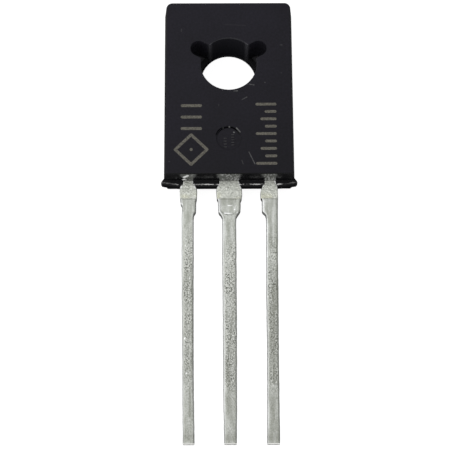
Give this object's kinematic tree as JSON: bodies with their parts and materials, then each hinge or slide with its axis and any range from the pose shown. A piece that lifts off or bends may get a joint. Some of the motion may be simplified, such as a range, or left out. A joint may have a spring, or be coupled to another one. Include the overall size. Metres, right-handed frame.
{
  "type": "power transistor",
  "caption": "Flat black moulded power transistor with a screw hole through the case, a bare metal pad in the seating face and flat tinned leads in a row at one end.",
  "frame": {"origin": "axis of the screw hole, in the plane of the seating face", "axes": "+Z along the screw hole's axis out of the front face, +Y up the case away from the leads, +X to the right seen from the front, towards the base lead"},
  "size_m": [0.008, 0.0264, 0.0026],
  "materials": {
    "black_epoxy": "matte moulded epoxy, smoother on the drafted sides and ends",
    "tinned_copper": "copper strip with a dull tin-lead coat",
    "silicon": "sawn and polished silicon with aluminium metallisation",
    "solder": "dull solder",
    "bond_wire": "drawn aluminium wire"
  },
  "bodies": {
    "root": {"case": "black_epoxy", "collector_frame": "tinned_copper", "emitter_lead": "tinned_copper", "base_lead": "tinned_copper", "silicon_die": "silicon", "die_solder": "solder", "emitter_wire": "bond_wire", "base_wire": "bond_wire"}
  },
  "joints": []
}
